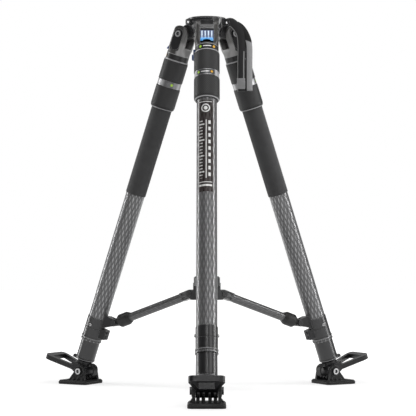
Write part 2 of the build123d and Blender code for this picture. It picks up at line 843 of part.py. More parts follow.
def make_arm_tube(arm, side):
    """Arm tube and its square end block with two grooves in each side, rounded about the hub pivot."""
    start = knob_from + knob_length - knob_lap + slip
    end = arm_length - blade_length
    with BuildPart() as tube:
        with BuildSketch(arm_station(arm, start)):
            Circle(arm_depth / 2)
        extrude(amount=end - start)
        with BuildSketch(side_of(arm)):
            with Locations((arm_length - blade_length / 2, 0)):
                Rectangle(blade_length, arm_depth)
            with Locations((arm_length, 0)):
                Circle(arm_depth / 2)
        extrude(amount=arm_depth / 2, both=True)
        with BuildSketch(arm_station(arm, start)):
            Circle(arm_depth / 2 - arm_tube_wall)
        extrude(amount=end - start - 6, mode=Mode.SUBTRACT)
        # closed guide at the outer end, bored for the rod
        with BuildSketch(arm_station(arm, start)):
            Circle(arm_depth / 2 - arm_tube_wall)
            Circle(rod_r + slip, mode=Mode.SUBTRACT)
        extrude(amount=30)
        for face in (1, -1):
            for level in (1, -1):
                with BuildSketch(side_of(arm, face * (arm_depth / 2 - 2))):
                    with Locations((arm_length - blade_length / 2, level * 4.9)):
                        SlotOverall(blade_length - 8, 5.4)
                extrude(amount=-face * 4, mode=Mode.SUBTRACT)
    save(tube, f"arm_tube_{side}")


def make_spreader_hub():
    """Lifting cup with three arches over the arms, on a post with a floor plate and three pairs of ears."""
    base = hub_pin_z
    ear_from = arm_depth / 2 + clear
    with BuildPart() as hub:
        with BuildSketch(Plane.XZ):
            with BuildLine():
                Polyline(
                    (0, base + hub_low), (hub_plate_r, base + hub_low), (hub_plate_r, base + hub_low + 3),
                    (hub_post_r, base + hub_low + 3), (hub_post_r, base + handle_high - 3.2),
                    (handle_r - handle_wall, base + handle_high - 3.2), (handle_r - handle_wall, base + handle_low),
                    (handle_r, base + handle_low), (handle_r, base + handle_high - 3),
                    (handle_r - 3, base + handle_high), (0, base + handle_high), (0, base + hub_low),
                )
            make_face()
        revolve(axis=Axis.Z)
        for azimuth in LEGS.values():
            for face in (1, -1):
                with BuildSketch(upright(azimuth, face * ear_from)):
                    with BuildLine():
                        Polyline(
                            (hub_post_r, base + hub_low), (arm_inner_reach - 4, base + hub_low),
                            (arm_inner_reach, base - hub_ear_r), (arm_inner_reach, base + hub_ear_r),
                            (handle_r - 1, base + hub_ear_r), (handle_r - 1, base + handle_low + 6),
                            (handle_r - 7, base + handle_low + 6), (handle_r - 11, base + hub_ear_r),
                            (hub_post_r, base + hub_ear_r), (hub_post_r, base + hub_low),
                        )
                    make_face()
                    with Locations((arm_inner_reach, base)):
                        Circle(hub_ear_r)
                extrude(amount=face * hub_ear)
                with BuildSketch(upright(azimuth, face * (ear_from + hub_ear))):
                    with Locations((arm_inner_reach, base)):
                        Circle(5)
                extrude(amount=face * 1.6)
        # the arms' paths stay clear: an arch through the skirt over each of them
        inner = hub_post_r + 1.5
        for azimuth in LEGS.values():
            with BuildSketch(Plane.XY.offset(base + hub_low + 3)):
                with Locations(Location((0, 0, 0), (0, 0, azimuth))):
                    with Locations((inner + handle_r, 0)):
                        Rectangle(2 * handle_r, 2 * ear_from - 0.1)
            extrude(amount=handle_arch_top - hub_low - 3, mode=Mode.SUBTRACT)
    save(hub, "spreader_hub")


# ---------------------------------------------------------------- strap and button
def strap_run(points, foot_x, foot_z, width):
    """Outline of a flat band in the XZ plane: a curved start and a straight hanging run."""
    with BuildSketch(Plane.XZ) as run:
        with BuildLine() as path:
            start = Spline(*points, tangents=[(1, 0.4), (0, -1)])
            Line(start @ 1, (foot_x, foot_z))
        trace(line_width=width)
    return run.sketch


def make_strap():
    """Two layers of a folded carrying strap that hangs from the right eyelet, with its keeper."""
    mid_y = strap_back_y - band_thick / 2
    start_x = (eyelet_reach - 5) * cos(radians(eyelet_angles[1]))
    layer_a = [(start_x, rim_z - 11), (57, rim_z - 11), (70, rim_z - 30), (band_a_x, rim_z - 62)]
    layer_b = [(65, rim_z - 15), (78, rim_z - 25), (88, rim_z - 42), (band_b_x, rim_z - 62)]
    with BuildPart() as strap:
        extrude(strap_run(layer_a, band_a_x, rim_z - band_hang, band_a_width), amount=band_thick)
        extrude(strap_run(layer_b, band_b_x, rim_z - band_hang + 1, band_b_width), amount=band_thick)
    strap.part.position = (0, strap_back_y, 0)
    save(strap, "carry_strap")
    with BuildPart() as keeper:
        with BuildSketch(Plane.XY.offset(rim_z - keeper_end)):
            with Locations((band_a_x, mid_y)):
                Rectangle(band_a_width + 2 * keeper_wall, band_thick + 2 * keeper_wall)
                Rectangle(band_a_width, band_thick, mode=Mode.SUBTRACT)
        extrude(amount=keeper_end - keeper_from)
    save(keeper, "strap_keeper")


def make_button(leg):
    """Half-round button on its bracket at the side of the front leg's neck."""
    centre = -(neck_end + 9.5)
    face_y = grip_r + clear
    with BuildPart() as button:
        with BuildSketch(side_of(leg, -face_y)):
            with Locations((0, centre)):
                Circle(7.5)
            with Locations((0, centre + 8)):
                Rectangle(11, 16)
        extrude(amount=1.4)
        with BuildSketch(side_of(leg)):
            with Locations((0, -neck_end + 4)):
                Rectangle(11, 6)
        extrude(amount=face_y)
        with BuildSketch(station(leg, neck_from)):
            Circle(neck_r)
        extrude(amount=-(neck_end - neck_from), mode=Mode.SUBTRACT)
        with BuildSketch(side_of(leg, -face_y - 1.4)):
            with Locations((0, centre)):
                Circle(6.5)
        extrude(amount=3)
        rim = button.faces().sort_by(Axis(leg.origin, leg.y_dir))[0].edges()
        fillet(rim, radius=2)
    save(button, "level_button_front")


# ---------------------------------------------------------------- assembly
os.makedirs("parts", exist_ok=True)
make_bowl_hub()
make_spreader_hub()
make_strap()
make_button(leg_frame(LEGS["front"]))
for side, azimuth in LEGS.items():
    leg = leg_frame(azimuth)
    foot = foot_frame(azimuth)
    arm = arm_frame(azimuth)
    make_leg_casting(leg, side)
    make_pivot_bolt(leg, side)
    make_angle_tab(leg, side)
    make_locks(leg, side)
    make_outer_tube(leg, side)
    make_collar(leg, side)
    make_middle_tube(leg, side)
    make_inner_tube(leg, side)
    make_foot_fitting(leg, side)
    make_foot_bolts(foot, side)
    make_foot_pad(foot, side)
    make_foot_strap(leg, foot, side)
    make_arm_rod(arm, side)
    make_arm_knob(arm, side)
    make_arm_tube(arm, side)
    if side != "front":
        make_sleeve(leg, side)
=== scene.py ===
from math import cos, pi, radians, sin

import bmesh
import bpy
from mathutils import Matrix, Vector


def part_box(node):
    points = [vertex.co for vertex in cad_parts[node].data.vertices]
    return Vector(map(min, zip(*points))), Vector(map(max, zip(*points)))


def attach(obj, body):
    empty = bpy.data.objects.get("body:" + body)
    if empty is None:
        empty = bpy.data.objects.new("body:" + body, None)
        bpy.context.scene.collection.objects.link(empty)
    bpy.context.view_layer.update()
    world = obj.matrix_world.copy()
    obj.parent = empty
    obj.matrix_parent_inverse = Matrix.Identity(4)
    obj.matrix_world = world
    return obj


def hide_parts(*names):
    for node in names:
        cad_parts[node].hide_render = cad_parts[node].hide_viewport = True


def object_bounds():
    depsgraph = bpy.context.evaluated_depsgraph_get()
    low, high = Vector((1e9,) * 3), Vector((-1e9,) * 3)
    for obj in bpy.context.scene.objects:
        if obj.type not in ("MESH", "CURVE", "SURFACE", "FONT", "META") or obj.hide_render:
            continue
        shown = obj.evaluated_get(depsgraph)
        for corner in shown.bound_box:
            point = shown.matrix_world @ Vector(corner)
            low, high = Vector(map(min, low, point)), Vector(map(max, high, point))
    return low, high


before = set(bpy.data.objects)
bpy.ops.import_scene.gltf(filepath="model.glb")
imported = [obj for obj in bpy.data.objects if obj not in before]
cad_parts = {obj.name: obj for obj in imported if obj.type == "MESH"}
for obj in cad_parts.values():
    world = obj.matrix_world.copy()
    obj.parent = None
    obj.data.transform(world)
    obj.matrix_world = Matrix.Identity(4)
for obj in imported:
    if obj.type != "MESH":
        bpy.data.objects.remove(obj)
cad_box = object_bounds()

# legs: direction of each from the hub, lean, and the hub pivot's place
LEGS = {"front": -90.0, "right": 30.0, "left": 150.0}
TILT = radians(20)
PIVOT_REACH = 0.058
PIVOT_DROP = 0.0324

# stations down a leg from its hub pivot, and distances in from its axis
ARM_PIN_AT, ARM_PIN_IN = 0.666, 0.0495
COLLAR_SCREW_AT = 0.6885
TAPER_AT = 0.7785
FOOT_PIVOT_AT, FOOT_PIVOT_IN = 0.7982, 0.011
COLLAR_RADIUS = 0.0226

# spreader arm: its outer pin and its slope
PIN_REACH = PIVOT_REACH + ARM_PIN_AT * sin(TILT) - ARM_PIN_IN * cos(TILT)
PIN_DROP = PIVOT_DROP + ARM_PIN_AT * cos(TILT) + ARM_PIN_IN * sin(TILT)
ARM_RISE = radians(19)

FLOOR = cad_box[0][2]
MM = 0.001


# ---------------------------------------------------------------- small node helpers
class Shade:
    """A material under construction: makes nodes and links them by value or socket."""

    def __init__(self, name):
        self.material = bpy.data.materials.new(name)
        self.material.use_nodes = True
        self.tree = self.material.node_tree
        self.tree.nodes.clear()
        self.out = self.tree.nodes.new("ShaderNodeOutputMaterial")
        self.surface = self.tree.nodes.new("ShaderNodeBsdfPrincipled")
        self.tree.links.new(self.surface.outputs[0], self.out.inputs[0])

    def put(self, socket, value):
        if isinstance(value, bpy.types.NodeSocket):
            self.tree.links.new(value, socket)
        else:
            socket.default_value = value

    def math(self, kind, a, b=0.0, c=0.0, clamp=False):
        node = self.tree.nodes.new("ShaderNodeMath")
        node.operation = kind
        node.use_clamp = clamp
        for socket, value in zip(node.inputs, (a, b, c)):
            self.put(socket, value)
        return node.outputs[0]

    def vector(self, kind, a, b):
        node = self.tree.nodes.new("ShaderNodeVectorMath")
        node.operation = kind
        self.put(node.inputs[0], a)
        self.put(node.inputs[1], b)
        return node.outputs["Value"] if kind == "DOT_PRODUCT" else node.outputs[0]

    def length(self, x, y):
        squares = self.math("ADD", self.math("MULTIPLY", x, x), self.math("MULTIPLY", y, y))
        return self.math("SQRT", squares)

    def coords(self):
        return self.tree.nodes.new("ShaderNodeTexCoord").outputs["Object"]

    def combine(self, x, y, z):
        node = self.tree.nodes.new("ShaderNodeCombineXYZ")
        for socket, value in zip(node.inputs, (x, y, z)):
            self.put(socket, value)
        return node.outputs[0]

    def mix(self, factor, a, b):
        node = self.tree.nodes.new("ShaderNodeMix")
        node.data_type = "RGBA"
        self.put(node.inputs[0], factor)
        self.put(node.inputs[6], a)
        self.put(node.inputs[7], b)
        return node.outputs[2]

    def noise(self, scale, detail=2.0, where=None):
        node = self.tree.nodes.new("ShaderNodeTexNoise")
        node.inputs["Scale"].default_value = scale
        node.inputs["Detail"].default_value = detail
        self.put(node.inputs["Vector"], where or self.coords())
        return node.outputs[0]

    def step(self, value, low, high):
        """Smooth 0 to 1 as value goes from low to high."""
        node = self.tree.nodes.new("ShaderNodeMapRange")
        node.interpolation_type = "SMOOTHSTEP"
        self.put(node.inputs[0], value)
        node.inputs[1].default_value = low
        node.inputs[2].default_value = high
        return node.outputs[0]

    def band(self, value, low, high, soft):
        """1 between low and high, 0 outside, with soft edges."""
        rise = self.step(value, low - soft, low + soft)
        fall = self.step(value, high - soft, high + soft)
        return self.math("SUBTRACT", rise, fall)

    def edges(self, radius=0.0010):
        """1 along the piece's own edges: the mask for a painted highlight there."""
        bevel = self.tree.nodes.new("ShaderNodeBevel")
        bevel.samples = 4
        bevel.inputs["Radius"].default_value = radius
        face = self.tree.nodes.new("ShaderNodeNewGeometry").outputs["Normal"]
        turn = self.vector("DOT_PRODUCT", bevel.outputs[0], face)
        return self.math("SUBTRACT", 1.0, self.step(turn, 0.90, 0.99))

    def recess(self, distance=0.003):
        """1 in sockets and corners: the mask for painted shade there."""
        node = self.tree.nodes.new("ShaderNodeAmbientOcclusion")
        node.samples = 6
        node.inputs["Distance"].default_value = distance
        return self.math("SUBTRACT", 1.0, self.step(node.outputs["AO"], 0.45, 0.90))

    def bump(self, height, strength, distance):
        node = self.tree.nodes.new("ShaderNodeBump")
        node.inputs["Strength"].default_value = strength
        node.inputs["Distance"].default_value = distance
        self.put(node.inputs["Height"], height)
        self.tree.links.new(node.outputs[0], self.surface.inputs["Normal"])

    def finish(self, color, roughness, metallic=0.0, coat=0.0, coat_roughness=0.1, specular=0.5, sheen=0.0):
        surface = self.surface.inputs
        self.put(surface["Base Color"], color)
        self.put(surface["Roughness"], roughness)
        self.put(surface["Metallic"], metallic)
        self.put(surface["Coat Weight"], coat)
        surface["Coat Roughness"].default_value = coat_roughness
        surface["Specular IOR Level"].default_value = specular
        surface["Sheen Weight"].default_value = sheen
        return self.material


def gray(value):
    return (value, value, value * 1.02, 1.0)


def leg_axes(azimuth):
    """Hub pivot of one leg, and its outward, sideways and down-the-leg directions."""
    a = radians(azimuth)
    pivot = Vector((PIVOT_REACH * cos(a), PIVOT_REACH * sin(a), -PIVOT_DROP))
    outward = Vector((cos(a) * cos(TILT), sin(a) * cos(TILT), sin(TILT)))
    side = Vector((-sin(a), cos(a), 0.0))
    down = Vector((cos(a) * sin(TILT), sin(a) * sin(TILT), -cos(TILT)))
    return pivot, outward, side, down


def leg_coords(shade, azimuth):
    """Outward, sideways and down-the-leg distances from the hub pivot of one leg."""
    pivot, outward, side, down = leg_axes(azimuth)
    local = shade.vector("SUBTRACT", shade.coords(), pivot)
    return tuple(shade.vector("DOT_PRODUCT", local, axis) for axis in (outward, side, down))


def leg_wrap(azimuth):
    """Angle round one leg and distance down it."""
    def place(shade):
        out, side, down = leg_coords(shade, azimuth)
        return shade.math("ARCTAN2", side, out), down
    return place


def arm_wrap(azimuth):
    """Angle round one spreader arm and distance up it from its outer pin."""
    a = radians(azimuth)
    pin = Vector((PIN_REACH * cos(a), PIN_REACH * sin(a), -PIN_DROP))
    along = Vector((-cos(a) * cos(ARM_RISE), -sin(a) * cos(ARM_RISE), sin(ARM_RISE)))
    above = Vector((cos(a) * sin(ARM_RISE), sin(a) * sin(ARM_RISE), cos(ARM_RISE)))
    side = Vector((-sin(a), cos(a), 0.0))

    def place(shade):
        local = shade.vector("SUBTRACT", shade.coords(), pin)
        turn = shade.math("ARCTAN2", shade.vector("DOT_PRODUCT", local, side),
                          shade.vector("DOT_PRODUCT", local, above))
        return turn, shade.vector("DOT_PRODUCT", local, along)
    return place


def satin(name, base, roughness=0.4, grain=900.0, relief=0.25, spread=0.25, metallic=0.0, coat=0.0,
          specular=0.5, edge=None, shade_recesses=False):
    """Enamel, rubber or plastic with a fine grain, slow colour drift and uneven gloss, and when asked a
    painted highlight along its edges and painted shade in its recesses.
    """
    shade = Shade(name)
    drift = shade.noise(38.0, 3.0)
    fine = shade.noise(grain, 2.0)
    low = tuple(c * (1 - spread) for c in base[:3]) + (1.0,)
    high = tuple(min(1.0, c * (1 + spread)) for c in base[:3]) + (1.0,)
    color = shade.mix(shade.step(drift, 0.3, 0.7), low, high)
    # painted highlight: a lighter grey mixed in along the edges
    if edge:
        color = shade.mix(shade.edges(), color, gray(edge))
    # painted shade: recesses darkened nearly to black
    if shade_recesses:
        color = shade.mix(shade.recess(), color, (0.01, 0.01, 0.01, 1))
    rough = shade.math("MULTIPLY_ADD", fine, 0.22, roughness - 0.11)
    shade.bump(fine, relief, 0.0002)
    return shade.finish(color, rough, metallic=metallic, coat=coat, specular=specular)


# ---------------------------------------------------------------- materials with the leg's own pattern
def carbon(name, turn_down, decal=False, tone=1.0):
    """Clear-coated carbon weave: staggered long lozenges round the tube, with an optional printed panel."""
    shade = Shade(name)
    turn, down = turn_down(shade)
    columns = 32.0
    around = shade.math("MULTIPLY", turn, columns / (2 * pi))
    cell = shade.math("FLOOR", around)
    odd = shade.math("MODULO", shade.math("ADD", cell, 64.0), 2.0)
    along = shade.math("MULTIPLY_ADD", odd, 0.5, shade.math("MULTIPLY", down, 1 / 0.0265))
    u = shade.math("ABSOLUTE", shade.math("SUBTRACT", shade.math("FRACT", around), 0.5))
    v = shade.math("ABSOLUTE", shade.math("SUBTRACT", shade.math("FRACT", along), 0.5))
    lozenge = shade.math("ADD", shade.math("MULTIPLY", u, 0.80), v)
    mask = shade.math("SUBTRACT", 1.0, shade.step(lozenge, 0.20, 0.44))
    strand = shade.noise(260.0, 2.0, shade.combine(
        shade.math("MULTIPLY", turn, 4.0), shade.math("MULTIPLY", down, 0.6), 0.0))
    fibre = shade.step(strand, 0.3, 0.7)
    weave = shade.math("MULTIPLY_ADD", fibre, 0.25, shade.math("MULTIPLY", mask, 0.75), clamp=True)
    color = shade.mix(weave, gray(0.055 * tone), gray(0.300 * tone))
    if decal:
        color = printed_panel(shade, turn, down, color)
    rough = shade.math("MULTIPLY_ADD", mask, -0.12, 0.44)
    shine = shade.math("MULTIPLY_ADD", mask, 0.65, 0.15)
    shade.bump(weave, 0.12, 0.0003)
    return shade.finish(color, rough, metallic=shine, coat=0.5, coat_roughness=0.18)


def printed_panel(shade, turn, down, color):
    """Dark brown label on the front leg: a plain scale, a long line with a ring, rows of small blocks."""
    panel = bar(shade, turn, down, -54, 39, 0.1780, 0.3860)
    color = shade.mix(panel, color, (0.026, 0.019, 0.018, 1))
    ink = (0.74, 0.74, 0.73, 1)
    ticks = shade.math("ABSOLUTE", shade.math("SUBTRACT", shade.math(
        "FRACT", shade.math("MULTIPLY", down, 1 / 0.0072)), 0.5))
    ticks = shade.math("SUBTRACT", 1.0, shade.step(ticks, 0.10, 0.18))
    scale = shade.math("MULTIPLY", ticks, bar(shade, turn, down, -44, -24, 0.2210, 0.3560))
    long_ticks = shade.math("ABSOLUTE", shade.math("SUBTRACT", shade.math(
        "FRACT", shade.math("MULTIPLY", down, 1 / 0.0360)), 0.5))
    long_ticks = shade.math("SUBTRACT", 1.0, shade.step(long_ticks, 0.03, 0.05))
    long_scale = shade.math("MULTIPLY", long_ticks, bar(shade, turn, down, -46, -14, 0.2210, 0.3560))
    blocks = shade.math("ABSOLUTE", shade.math("SUBTRACT", shade.math(
        "FRACT", shade.math("MULTIPLY", down, 1 / 0.0148)), 0.5))
    blocks = shade.math("SUBTRACT", 1.0, shade.step(blocks, 0.24, 0.30))
    blocks = shade.math("MULTIPLY", blocks, bar(shade, turn, down, 9, 22, 0.2220, 0.3552))
    line = bar(shade, turn, down, -6, -1, 0.2240, 0.3560)
    ring = shade.math("SUBTRACT", dot(shade, turn, down, -7, 0.1965, 0.0096, 0.0215),
                      dot(shade, turn, down, -7, 0.1965, 0.0072, 0.0215))
    core = dot(shade, turn, down, -7, 0.1965, 0.0042, 0.0215)
    top = bar(shade, turn, down, -46, 31, 0.1812, 0.1826)
    low = shade.math("ADD", bar(shade, turn, down, -46, 31, 0.3640, 0.3656),
                     bar(shade, turn, down, -46, 31, 0.3700, 0.3740))
    marks = ring
    for mark in (scale, long_scale, blocks, line, core, top, low):
        marks = shade.math("ADD", marks, mark, clamp=True)
    return shade.mix(marks, color, ink)


def ribbed_rubber(name, azimuth, low_end):
    """Twist-lock rubber with a fine diamond knurl and a bright line round its lower end."""
    shade = Shade(name)
    out, side, down = leg_coords(shade, azimuth)
    turn = shade.math("ARCTAN2", side, out)
    left = shade.math("SINE", shade.math("MULTIPLY_ADD", turn, 42.0, shade.math("MULTIPLY", down, 1500.0)))
    right = shade.math("SINE", shade.math("MULTIPLY_ADD", turn, 42.0, shade.math("MULTIPLY", down, -1500.0)))
    knurl = shade.math("MULTIPLY_ADD", shade.math("ADD", left, right), 0.25, 0.5)
    fine = shade.noise(700.0, 2.0)
    height = shade.math("MULTIPLY_ADD", fine, 0.4, knurl)
    color = shade.mix(shade.math("MULTIPLY_ADD", fine, 0.3, shade.math("MULTIPLY", knurl, 0.7)),
                      (0.001, 0.001, 0.001, 1), (0.050, 0.050, 0.051, 1))
    trim = shade.band(down, low_end - 0.0030, low_end - 0.0014, 0.0004)
    color = shade.mix(trim, color, (0.42, 0.42, 0.43, 1))
    shade.bump(height, 0.45, 0.0004)
    return shade.finish(color, 0.50, specular=0.36)


def dot(shade, turn, down, angle, at, radius, leg_r):
    """Round spot on the leg's surface at an angle from outward."""
    x = shade.math("MULTIPLY", shade.math("SUBTRACT", turn, radians(angle)), leg_r)
    y = shade.math("SUBTRACT", down, at)
    return shade.math("SUBTRACT", 1.0, shade.step(shade.length(x, y), radius - 0.0005, radius + 0.0005))


def bar(shade, turn, down, angle_low, angle_high, low, high):
    across = shade.band(turn, radians(angle_low), radians(angle_high), 0.03)
    return shade.math("MULTIPLY", across, shade.band(down, low, high, 0.0004))


def casting(name, azimuth):
    """Dark leg casting: lighter inner faces, black side pads, a grooved neck with marks, a bright rim and a
    painted highlight along its edges.
    """
    shade = Shade(name)
    out, side, down = leg_coords(shade, azimuth)
    turn = shade.math("ARCTAN2", side, out)
    fine = shade.noise(1100.0, 2.0)
    drift = shade.step(shade.noise(45.0, 3.0), 0.3, 0.7)
    color = shade.mix(drift, (0.034, 0.033, 0.032, 1), (0.055, 0.053, 0.051, 1))
    inner = shade.step(shade.math("MULTIPLY", out, -1.0), 0.004, 0.012)
    lip = shade.math("MULTIPLY", inner, shade.step(down, 0.012, 0.024))
    color = shade.mix(inner, color, (0.150, 0.148, 0.146, 1))
    color = shade.mix(lip, color, (0.330, 0.328, 0.325, 1))
    pad = shade.step(shade.math("ABSOLUTE", side), 0.0240, 0.0250)
    lobe = shade.band(down, -0.013, 0.0366, 0.0005)
    width = shade.math("SUBTRACT", 1.0, shade.step(shade.math("ABSOLUTE", out), 0.0116, 0.0122))
    pad = shade.math("MULTIPLY", shade.math("MULTIPLY", pad, lobe), width)
    color = shade.mix(pad, color, (0.012, 0.012, 0.013, 1))
    neck = shade.step(down, 0.0452, 0.0460)
    grooves = shade.math("ABSOLUTE", shade.math("SINE", shade.math("MULTIPLY", down, pi / 0.0036)))
    black = shade.mix(grooves, (0.003, 0.003, 0.003, 1), (0.018, 0.018, 0.018, 1))
    color = shade.mix(neck, color, black)
    color = shade.mix(shade.band(down, 0.0452, 0.0464, 0.0003), color, (0.32, 0.32, 0.32, 1))
    pill = bar(shade, turn, down, -47, 49, 0.0475, 0.0565)
    color = shade.mix(pill, color, (0.008, 0.008, 0.009, 1))
    color = shade.mix(dot(shade, turn, down, -33, 0.052, 0.0030, 0.0255), color, (0.42, 0.70, 0.06, 1))
    color = shade.mix(dot(shade, turn, down, 37, 0.052, 0.0030, 0.0255), color, (0.76, 0.42, 0.05, 1))
    color = shade.mix(bar(shade, turn, down, -19, 22, 0.0508, 0.0526), color, (0.90, 0.90, 0.90, 1))
    color = shade.mix(shade.step(down, 0.0576, 0.0580), color, (0.40, 0.40, 0.41, 1))
    # painted highlight along the casting's edges
    color = shade.mix(shade.edges(), color, (0.26, 0.26, 0.26, 1))
    shade.bump(shade.math("MULTIPLY_ADD", shade.math("MULTIPLY", neck, grooves), 2.0, fine), 0.3, 0.0002)
    rough = shade.math("MULTIPLY_ADD", fine, 0.2, 0.30)
    return shade.finish(color, rough, metallic=0.15, coat=0.15, specular=0.4)


def marked_ring(name, azimuth):
    """Ring between the locks, bright in painted highlight patches round it, with coloured dots and a dash,
    the green dot on both sides.
    """
    shade = Shade(name)
    out, side, down = leg_coords(shade, azimuth)
    turn = shade.math("ARCTAN2", side, out)
    brush = shade.noise(500.0, 3.0, shade.combine(turn, shade.math("MULTIPLY", down, 12.0), 0.0))
    # painted highlight: broad patches round the ring lightened from dark to bright metal
    highlight_patch = shade.step(shade.noise(1.1, 1.0, shade.combine(turn, 3.0, 0.0)), 0.40, 0.60)
    metal = shade.mix(highlight_patch, (0.085, 0.085, 0.088, 1), (0.52, 0.52, 0.53, 1))
    color = shade.mix(shade.math("MULTIPLY", shade.step(brush, 0.3, 0.7), 0.35), metal, (0.40, 0.40, 0.41, 1))
    pill = bar(shade, turn, down, -56, 38, 0.1085, 0.1175)
    color = shade.mix(pill, color, (0.060, 0.060, 0.062, 1))
    for angle in (-41, 135):
        color = shade.mix(dot(shade, turn, down, angle, 0.113, 0.0028, 0.0266), color, (0.42, 0.70, 0.06, 1))
    color = shade.mix(dot(shade, turn, down, 24, 0.113, 0.0028, 0.0266), color, (0.76, 0.42, 0.05, 1))
    color = shade.mix(bar(shade, turn, down, -28, 12, 0.1120, 0.1138), color, (0.90, 0.90, 0.90, 1))
    shade.bump(brush, 0.1, 0.0002)
    return shade.finish(color, 0.38, metallic=0.5)


# lines round the collars and boots: from, to, grey (gaps are dark; the lighter lines are painted highlights
# on the rims where sections meet)
SECTION_LINES = (
    (0.6930, 0.6950, 0.003), (0.7150, 0.7176, 0.003), (0.7192, 0.7203, 0.26), (0.7210, 0.7240, 0.003),
    (0.7252, 0.7264, 0.20), (0.7268, 0.7285, 0.003), (0.7690, 0.7705, 0.003), (0.7724, 0.7736, 0.18),
)


def lacquer(name, azimuth):
    """Black enamel, glossy on the collars and boots, with a painted highlight along its edges, dark gaps
    where sections meet and painted highlight lines on their rims.
    """
    shade = Shade(name)
    out, side, down = leg_coords(shade, azimuth)
    drift = shade.step(shade.noise(38.0, 3.0), 0.3, 0.7)
    fine = shade.noise(900.0, 2.0)
    color = shade.mix(drift, (0.006, 0.006, 0.007, 1), (0.012, 0.012, 0.013, 1))
    # painted highlight along the edges
    color = shade.mix(shade.edges(), color, (0.12, 0.12, 0.125, 1))
    barrel = shade.math("LESS_THAN", shade.length(out, side), 0.0247)
    # dark gap lines, and painted highlight lines on the rims
    for low, high, tone in SECTION_LINES:
        line = shade.math("MULTIPLY", barrel, shade.band(down, low, high, 0.0003))
        color = shade.mix(line, color, gray(tone))
    boot = shade.math("MULTIPLY", barrel, shade.math("LESS_THAN", down, TAPER_AT))
    rough = shade.math("MULTIPLY_ADD", fine, 0.18, 0.24)
    shade.bump(fine, 0.15, 0.0002)
    gloss = shade.math("MULTIPLY", boot, 0.65)
    return shade.finish(color, rough, coat=gloss, coat_roughness=0.30, specular=0.38)


def turned_cap(name, azimuth, out_at, down_at):
    """Lathe-turned bolt head across a leg: black rim, bright ring, painted shade in its socket and a small
    bright centre.
    """
    shade = Shade(name)
    out, side, down = leg_coords(shade, azimuth)
    x = shade.math("SUBTRACT", out, out_at)
    y = shade.math("SUBTRACT", down, down_at)
    away = shade.length(x, y)
    turned = shade.noise(1500.0, 2.0, shade.combine(away, 0.0, 0.0))
    worn = shade.noise(160.0, 3.0)
    steel_color = shade.mix(shade.math("MULTIPLY_ADD", turned, 0.5, shade.math("MULTIPLY", worn, 0.5)),
                            (0.42, 0.42, 0.43, 1), (0.80, 0.80, 0.80, 1))
    color = shade.mix(shade.step(away, 0.0066, 0.0072), steel_color, (0.045, 0.045, 0.047, 1))
    # painted shade: the socket inside the bright ring darkened
    socket_shade = shade.math("SUBTRACT", 1.0, shade.step(away, 0.0036, 0.0041))
    color = shade.mix(socket_shade, color, (0.014, 0.014, 0.014, 1))
    core = shade.math("SUBTRACT", 1.0, shade.step(away, 0.0017, 0.0021))
    color = shade.mix(core, color, (0.30, 0.30, 0.31, 1))
    shade.bump(turned, 0.15, 0.0002)
    return shade.finish(color, shade.math("MULTIPLY_ADD", worn, 0.25, 0.22), metallic=0.7)


def stop_tab(name, azimuth):
    """Blue angle-stop tab with navy flanks; its front face is painted lighter as if lit: pale crowns on the
    ribs above and a brighter blue lip below, both painted highlights.
    """
    shade = Shade(name)
    out, side, down = leg_coords(shade, azimuth)
    # the front face: the only place the painted highlights are laid
    front = shade.step(out, 0.0120, 0.0130)
    front = shade.math("MULTIPLY", front, shade.math("SUBTRACT", 1.0, shade.step(
        shade.math("ABSOLUTE", side), 0.0134, 0.0138)))
    # painted highlight: the lip is a brighter blue on the front face only
    lip = shade.math("MULTIPLY", shade.step(down, 0.0290, 0.0315), front)
    fine = shade.noise(600.0, 2.0)
    rib_highlight = shade.math("ABSOLUTE", shade.math("SUBTRACT", shade.math(
        "FRACT", shade.math("MULTIPLY", side, 1 / 0.007)), 0.5))
    rib_highlight = shade.math("SUBTRACT", 1.0, shade.step(rib_highlight, 0.16, 0.26))
    # painted highlight: pale crowns on the ribs, on the front face only
    crown = shade.math("MULTIPLY", shade.step(out, 0.0180, 0.0192), front)
    rib_highlight = shade.math("MULTIPLY", rib_highlight, shade.math("MULTIPLY", crown, shade.math("SUBTRACT", 1.0, lip)))
    face = shade.mix(fine, (0.008, 0.030, 0.13, 1), (0.014, 0.050, 0.20, 1))
    color = shade.mix(lip, face, (0.03, 0.32, 0.76, 1))
    color = shade.mix(rib_highlight, color, (0.58, 0.72, 0.88, 1))
    shade.bump(fine, 0.1, 0.0002)
    return shade.finish(color, 0.28, coat=0.4)


def foam(name):
    shade = Shade(name)
    cells = shade.noise(1500.0, 4.0)
    soft = shade.noise(60.0, 3.0)
    color = shade.mix(shade.math("MULTIPLY_ADD", soft, 0.5, shade.math("MULTIPLY", cells, 0.5)),
                      (0.030, 0.030, 0.031, 1), (0.070, 0.070, 0.071, 1))
    shade.bump(shade.math("MULTIPLY_ADD", soft, 1.2, cells), 0.5, 0.0006)
    return shade.finish(color, 0.86, specular=0.3, sheen=0.15)


